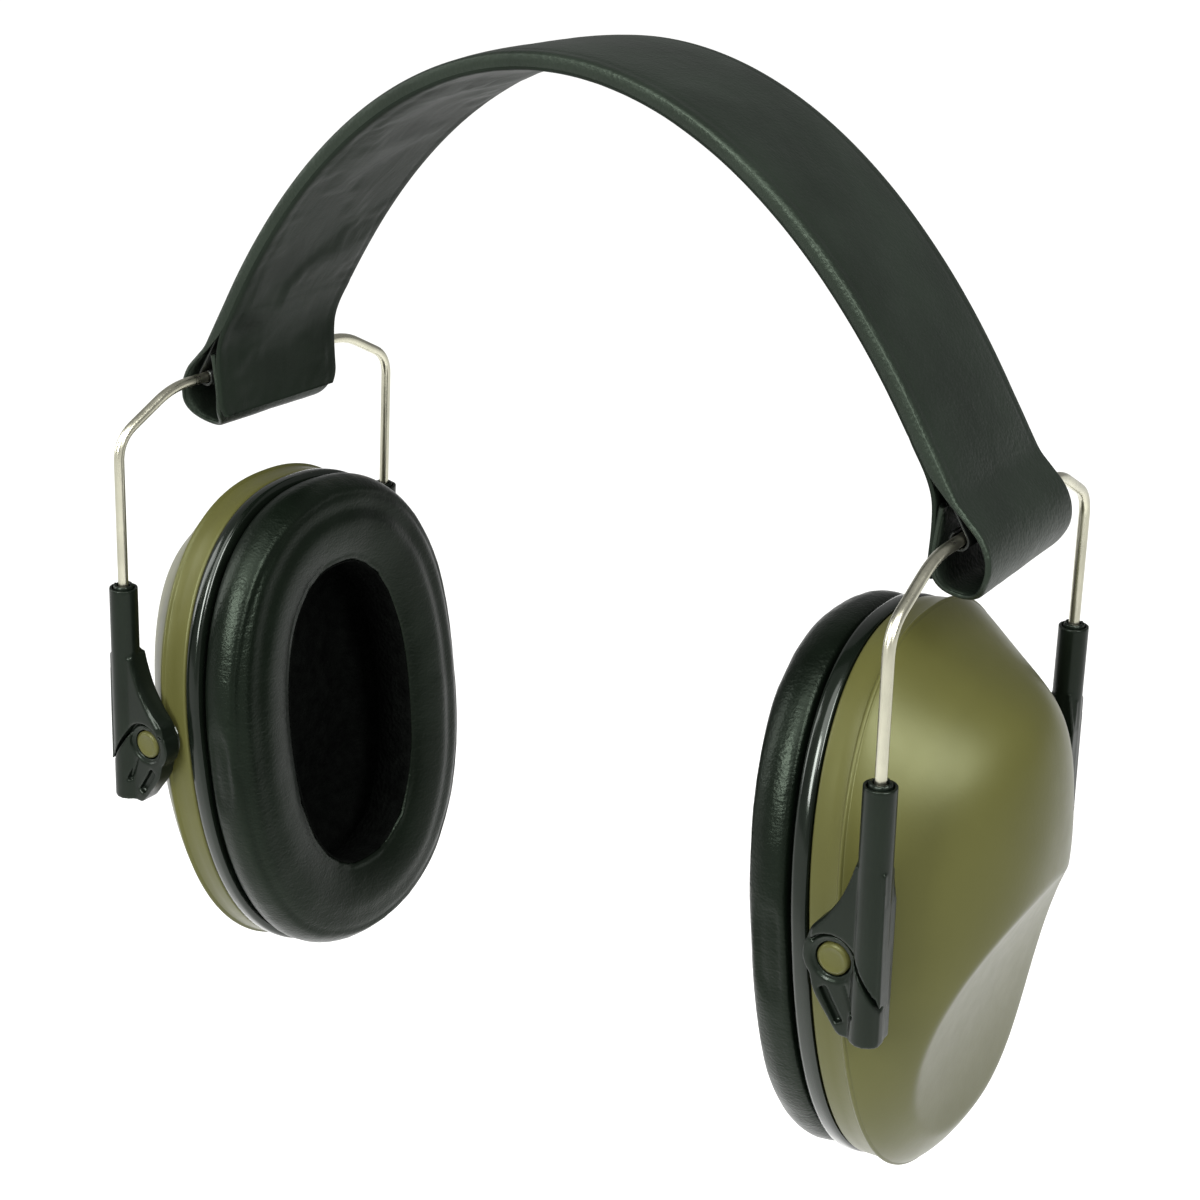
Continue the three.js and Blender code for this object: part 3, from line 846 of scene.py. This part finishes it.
def dome_rows(shrink, steps, cols):
    rows = []
    for angle in np.linspace(0, math.pi / 2, steps + 1)[:-1]:
        rise = math.sin(angle) ** DOME_DEPTH_POWER
        size = math.cos(angle) ** DOME_WIDTH_POWER
        centre = CUP_CENTRE + DOME_RISE * rise**DOME_LIFT_POWER
        rows.append(oval_points(RIDGE_X + (DOME_DEPTH - shrink) * rise, (RIDGE_WIDTH - shrink) * size,
                                (RIDGE_HEIGHT - shrink) * size, centre, cols))
    apex = np.array([RIDGE_X + DOME_DEPTH - shrink, 0, CUP_CENTRE + DOME_RISE])
    return rows, apex


def scooped(points, shrink):
    """Presses the points inward to the scoop's cylinder, with a slightly rounded edge."""
    z = points[:, 2]
    depth = np.sqrt(np.maximum((SCOOP_RADIUS + shrink) ** 2 - (z - SCOOP_Z) ** 2, 1))
    limit = SCOOP_X - depth
    gap = points[:, 0] - limit
    points[:, 0] = limit + 0.5 * (gap - np.sqrt(gap * gap + SCOOP_EDGE * SCOOP_EDGE))
    return points


def capped_rows(rows, last_tip, first_tip, cols):
    """A closed solid from rows of ring points, with one tip point closing each end, in metres."""
    v = np.concatenate(rows + [last_tip, first_tip])
    faces = grid_faces(len(rows), cols, close_cols=True)
    last = (len(rows) - 1) * cols
    for k in range(cols):
        j = (k + 1) % cols
        faces.append((last + k, last + j, len(v) - 2))
        faces.append((j, k, len(v) - 1))
    v = v * MM
    return v, oriented(v, faces)


def shell_shape(cols=224):
    """The cup shell in the cup frame: flange, ridge, dome and scoop outside, and an offset inside."""
    outer = [(-6.7, -0.9), (-6.75, -0.3), (-6.5, -0.02), (-6.1, 0.05), (-4.0, 0.12), (-1.7, 0.2),
             (-1.5, 0.3), (-1.35, 0.55), (-1.1, 0.72), (-0.85, 0.7), (-0.65, 0.5), (-0.6, 0.3)]
    rows = [oval_points(x, RIM_WIDTH + grow, RIM_HEIGHT + grow, CUP_CENTRE, cols) for x, grow in outer]
    dome, apex = dome_rows(0.0, 90, cols)
    rows += [scooped(row, 0) for row in dome[1:]]
    tip = scooped(np.array([apex]), 0)
    inner, inner_apex = dome_rows(WALL, 40, cols)
    inside = [scooped(row, WALL) for row in inner]
    inside.append(oval_points(MOUTH_X, RIM_WIDTH - WALL, RIM_HEIGHT - WALL, CUP_CENTRE, cols))
    inner_tip = scooped(np.array([inner_apex]), WALL)
    return capped_rows(inside + rows, tip, inner_tip, cols)


def boss_shape():
    """The shell's pivot boss under a front arm: a low flared ring round the pin's shank."""
    section = smooth_curve([(1.9, -34.6), (1.9, -36.9), (2.3, -37.05), (4.0, -37.0), (4.5, -36.6),
                            (5.0, -35.6), (5.2, -34.6)], 30, closed=True)
    cols = 56
    verts = [(r * math.cos(t), y, r * math.sin(t)) for r, y in section
             for t in np.linspace(0, 2 * math.pi, cols, endpoint=False)]
    v = np.array(verts) * MM
    return v, oriented(v, grid_faces(len(section), cols, close_rows=True, close_cols=True))


def backplate_shape(cols=192):
    x0 = MOUTH_X - 0.3
    section = [(2.8, x0), (0.3, x0), (0.0, x0 - 0.1), (-0.22, x0 - 0.4), (-0.28, x0 - 1.2),
               (-0.28, x0 - 2.3), (-0.1, x0 - 2.9), (0.4, x0 - 3.2), (1.5, x0 - 3.3), (4.8, x0 - 3.3),
               (5.2, x0 - 3.1), (5.4, x0 - 2.4), (9, x0 - 2.4), (14, x0 - 2.4), (14.2, x0 - 1.2),
               (14, x0), (9, x0), (4.6, x0), (4.4, x0 + 0.4), (4.3, x0 + 3.8), (3.0, x0 + 4.0),
               (2.8, x0 + 3.6)]
    return rim_ring(section, cols)


def carrier_shape(cols=128):
    section = [(2, -12.1), (6, -12.1), (6, -10.0), (9.4, -10.0), (9.4, -12.1), (15, -12.1),
               (15.1, -12.6), (15, -13.0), (2, -13.0), (1.9, -12.6)]
    return rim_ring(section, cols)


CUSHION_SECTION = [(5.0, -11.3), (1.9, -11.2), (0.6, -12.0), (0.1, -13.8), (0.2, -16.0), (1.2, -18.4),
                   (3.1, -20.2), (5.2, -21.0), (7.4, -21.4), (9.6, -21.4), (12.0, -21.0), (14.4, -20.3),
                   (16.4, -19.4), (17.1, -18.7), (17.3, -17.2), (17.2, -13.6), (16.0, -11.5), (12.6, -11.3)]


def collar_shape(cols=160):
    """The dark sleeve that lines the wall of the ear opening."""
    section = [(17.35, -18.2), (17.7, -18.5), (18.0, -18.2), (18.1, -14.0), (18.0, -9.6), (17.4, -9.3),
               (14.6, -9.2), (14.5, -9.7), (17.2, -9.9), (17.35, -14.0)]
    return rim_ring(section, cols)


def cushion_shape(rows=64, cols=192):
    """The cushion's vinyl skin in the cup frame: cloth puffs it out, then its valley is pressed in."""
    section = smooth_curve(CUSHION_SECTION, rows)
    ring = [oval_points(x, RIM_WIDTH - i, RIM_HEIGHT - i, CUP_CENTRE, cols) for i, x in section]
    start = np.concatenate(ring) * MM
    faces = grid_faces(rows, cols, close_cols=True)
    verts = start.copy()
    obj = make_object("cushion_sim", start * 10, faces)
    group = obj.vertex_groups.new(name="pin")
    edge_rows = list(range(0, 7)) + list(range(rows - 9, rows))
    group.add([r * cols + c for r in edge_rows for c in range(cols)], 1.0, "REPLACE")
    puffed = run_cloth(obj, group.name, pressure=3.0, shrink=0.0, bending=2.0, frames=14) / 10
    discard(obj)
    move = puffed - start
    size = np.linalg.norm(move, axis=1)
    cap = PUFF_LIMIT * MM
    verts = start + move * (np.minimum(size, cap) / np.maximum(size, 1e-9))[:, None]
    return press_crease(verts, section, rows, cols)


def press_crease(verts, section, rows, cols):
    """The valley round the face, and fine radial gathers on the outer roll."""
    made = verts.copy().reshape(rows, cols, 3)
    inset = section[:, 0]
    x = section[:, 1]
    face = smoothstep((-x - 17.5) / 2.0)
    valley = 0.75 * np.exp(-((inset - 6.6) / 1.7) ** 2) * face
    turns = np.linspace(0, 2 * math.pi, cols, endpoint=False)
    fade = 0.62 + 0.38 * np.sin(turns + 0.5)
    made[:, :, 0] += valley[:, None] * fade[None, :] * MM
    for r in range(rows):
        outer = math.exp(-((inset[r] - 0.8) / 2.6) ** 2) * smoothstep((-x[r] - 11.5) / 2)
        for c in range(cols):
            around = 60 * turns[c]
            gather = noise.noise(Vector((around * 0.33, x[r] * 0.16, 5.0)))
            swell = noise.noise(Vector((around * 0.06, x[r] * 0.08, 9.0)))
            made[r, c, 1:] *= 1 + outer * (0.0022 * gather + 0.003 * swell)
            made[r, c, 0] += face[r] * 0.12 * MM * noise.noise(Vector((around * 0.09, inset[r] * 0.15, 2.0)))
    return made.reshape(-1, 3)


def thick_skin(verts, rows, cols, thickness):
    """A closed sheet: the skin, an inner copy set back along its normals, and its two edges joined."""
    grid = verts.reshape(rows, cols, 3)
    along = np.gradient(grid, axis=0)
    around = (np.roll(grid, -1, axis=1) - np.roll(grid, 1, axis=1)) / 2
    normal = np.cross(along, around)
    normal /= np.linalg.norm(normal, axis=2)[:, :, None]
    centre_line = grid.mean(axis=0, keepdims=True)
    inward = np.sign(((centre_line - grid) * normal).sum(2).mean())
    inner = grid + normal * inward * thickness
    both = np.concatenate([grid, inner[::-1]], axis=0)
    v = both.reshape(-1, 3)
    return v, oriented(v, grid_faces(2 * rows, cols, close_rows=True, close_cols=True))


def cushion_core_shape(cols=96):
    section = smooth_curve([(2.0, -13.4), (15.4, -13.4), (15.6, -17.4), (14.2, -19.2), (11.4, -20.0),
                            (8.0, -20.0), (4.6, -19.2), (2.4, -16.8)], 40, closed=True)
    return rim_ring(section, cols)


def liner_shape(cols=128):
    """The foam inside the shell: its back follows the dome and its front is dished towards the ear."""
    shrink = WALL + 0.7
    front = -1.7
    dome, apex = dome_rows(shrink, 26, cols)
    rows = [scooped(row, shrink) for row in dome]
    for row in rows:
        row[:, 0] = np.maximum(row[:, 0], front + 0.2)
    tip = scooped(np.array([apex]), shrink)
    dish = []
    lip = [(1.0, front), (0.975, front - 0.1), (0.95, front - 0.6), (0.945, -6.0), (0.935, -6.5)]
    bowl = [(share, -6.5 + (front + DISH_DEPTH + 6.5) * smoothstep((0.92 - share) / 0.42))
            for share in np.linspace(0.92, 0.04, 34)]
    for share, depth in lip + bowl:
        row = oval_points(depth, (RIM_WIDTH - shrink) * share, (RIM_HEIGHT - shrink) * share,
                          CUP_CENTRE, cols)
        for k in range(cols):
            row[k, 0] += 0.35 * blob(row[k, 1], row[k, 2], 1.0, 0.22) * (share < 0.9)
        dish.append(row)
    middle = np.array([[front + DISH_DEPTH, 0, CUP_CENTRE]])
    return capped_rows(dish[::-1] + rows, tip, middle, cols)


def add_cup(side, shapes):
    matrix = FRAMES[side]["cup"]
    body = f"cup_{side}"

    def put(kind, name, material, replaced, mirror_y=False):
        v, f = placed(*shapes[kind], matrix, mirror_y)
        return add_piece(name, v, f, body, material, replaced)

    put("shell", f"cup_{side}_shell", OLIVE, [f"cup_shell_{side}"])
    put("backplate", f"cup_{side}_rim", RIM_BLACK, [f"cup_backplate_{side}"])
    put("carrier", f"cushion_{side}_carrier", RIM_BLACK, [f"cushion_ring_{side}"])
    liner = put("liner", f"cup_{side}_liner", FOAM, [f"cup_foam_liner_{side}"])
    core = put("core", f"cushion_{side}_core", FOAM, [f"cushion_foam_{side}"])
    collar = put("collar", f"cushion_{side}_collar", FOAM, [])
    skin = put("cushion", f"cushion_{side}_skin", CUSHION, [f"cushion_cover_{side}"])
    for end, y in ENDS.items():
        put("pin", f"pin_{end}_{side}_head", OLIVE, [f"pivot_pin_{end}_{side}"], y > 0)
        put("boss", f"boss_{end}_{side}", RIM_BLACK, [], y > 0)


def add_arms(side, arm, bush):
    matrix = FRAMES[side]["arm"]
    for end, y in ENDS.items():
        v, f = placed(*arm, matrix, y > 0)
        add_piece(f"arm_{end}_{side}_moulding", v, f, f"arms_{side}", ARM_BLACK,
                  [f"arm_{end}_{side}"])
        v, f = placed(*bush, matrix, y > 0)
        add_piece(f"bush_{end}_{side}_sleeve", v, f, f"arms_{side}", ARM_BLACK,
                  [f"wire_bush_{end}_{side}"])


# ---------------------------------------------------------------- stage, lights and camera

FLOOR_DROP = 0.45
FLOOR_REACH = 25
WORLD_STRENGTH = 0.30
SUN_ENERGY = 2.9
SUN_SPREAD = math.radians(50)
SUN_TOWARDS = Vector((0.05, -0.62, 0.78))
LIGHT_AIM = (0, 0, -0.09)
PANELS = (
    ("left_panel", (-0.75, -0.35, 0.2), (0.3, 0.6), 3.5),
    ("right_panel", (0.7, -0.3, 0.45), (0.3, 0.6), 12),
    ("front_panel", (-0.1, -0.9, 0.35), (0.3, 0.5), 13),
)
CAMERA_AZIMUTH = math.radians(33.35)
CAMERA_ELEVATION = math.radians(21.13)
CAMERA_ROLL = math.radians(1.03)
CAMERA_DISTANCE = 0.3571
CAMERA_AIM = (0.0131, -0.01898, -0.02231)
CAMERA_LENS = 60.78
CAMERA_SHIFT = (0.008, -0.0104)
EXPOSURE = 0.2


def add_stage():
    r = FLOOR_REACH
    floor = make_object("floor", [(-r, -r, 0), (r, -r, 0), (r, r, 0), (-r, r, 0)], [(0, 1, 2, 3)])
    floor.location.z = cad_box[0][2] - FLOOR_DROP
    floor.data.materials.append(pale_floor())


def add_light(name, place, aim, size, power):
    data = bpy.data.lights.new(name, "AREA")
    data.shape = "RECTANGLE"
    data.size, data.size_y = size
    data.energy = power
    lamp = bpy.data.objects.new(name, data)
    lamp.location = place
    lamp.rotation_euler = (Vector(aim) - Vector(place)).to_track_quat("-Z", "Y").to_euler()
    bpy.context.scene.collection.objects.link(lamp)


def add_lights():
    world = bpy.data.worlds.new("studio")
    world.use_nodes = True
    world.node_tree.nodes["Background"].inputs["Color"].default_value = (1, 1, 1, 1)
    world.node_tree.nodes["Background"].inputs["Strength"].default_value = WORLD_STRENGTH
    bpy.context.scene.world = world
    data = bpy.data.lights.new("soft_sky", "SUN")
    data.energy = SUN_ENERGY
    data.angle = SUN_SPREAD
    sky = bpy.data.objects.new("soft_sky", data)
    sky.rotation_euler = SUN_TOWARDS.to_track_quat("Z", "Y").to_euler()
    bpy.context.scene.collection.objects.link(sky)
    for name, place, size, power in PANELS:
        add_light(name, place, LIGHT_AIM, size, power)


def add_camera():
    """The camera at the photograph's angle; its aim is stated from the height of the fold axes."""
    aim = np.array(CAMERA_AIM)
    aim[2] += FRAMES["right"]["yoke"][2, 3]
    level = math.cos(CAMERA_ELEVATION)
    back = np.array([math.sin(CAMERA_AZIMUTH) * level, -math.cos(CAMERA_AZIMUTH) * level,
                     math.sin(CAMERA_ELEVATION)])
    right = np.array([math.cos(CAMERA_AZIMUTH), math.sin(CAMERA_AZIMUTH), 0])
    up = np.cross(back, right)
    turned_right = math.cos(CAMERA_ROLL) * right + math.sin(CAMERA_ROLL) * up
    turned_up = math.cos(CAMERA_ROLL) * up - math.sin(CAMERA_ROLL) * right
    camera = bpy.data.objects.new("camera", bpy.data.cameras.new("camera"))
    camera.data.lens = CAMERA_LENS
    camera.data.shift_x, camera.data.shift_y = CAMERA_SHIFT
    camera.data.sensor_width = 36
    camera.data.clip_start = 0.01
    matrix = Matrix.Identity(4)
    for row in range(3):
        matrix[row][0], matrix[row][1] = turned_right[row], turned_up[row]
        matrix[row][2], matrix[row][3] = back[row], (aim + CAMERA_DISTANCE * back)[row]
    camera.matrix_world = matrix
    bpy.context.scene.collection.objects.link(camera)
    bpy.context.scene.camera = camera


add_camera()
add_lights()
add_stage()
bpy.context.scene.view_settings.view_transform = "Standard"
bpy.context.scene.view_settings.exposure = EXPOSURE

headband_cover()
headband_lining()
headband_core()
cushion_rows, cushion_cols = 64, 192
skin_verts = cushion_shape(cushion_rows, cushion_cols)
cup_shapes = {
    "shell": shell_shape(),
    "boss": boss_shape(),
    "pin": pin_shape(),
    "backplate": backplate_shape(),
    "carrier": carrier_shape(),
    "liner": liner_shape(),
    "core": cushion_core_shape(),
    "collar": collar_shape(),
    "cushion": thick_skin(skin_verts, cushion_rows, cushion_cols, SKIN_THICKNESS * MM),
}
arm_mesh = arm_shape()
bush_mesh = bush_shape()
for side_name in SIDES:
    yoke_wire(side_name)
    add_arms(side_name, arm_mesh, bush_mesh)
    add_cup(side_name, cup_shapes)
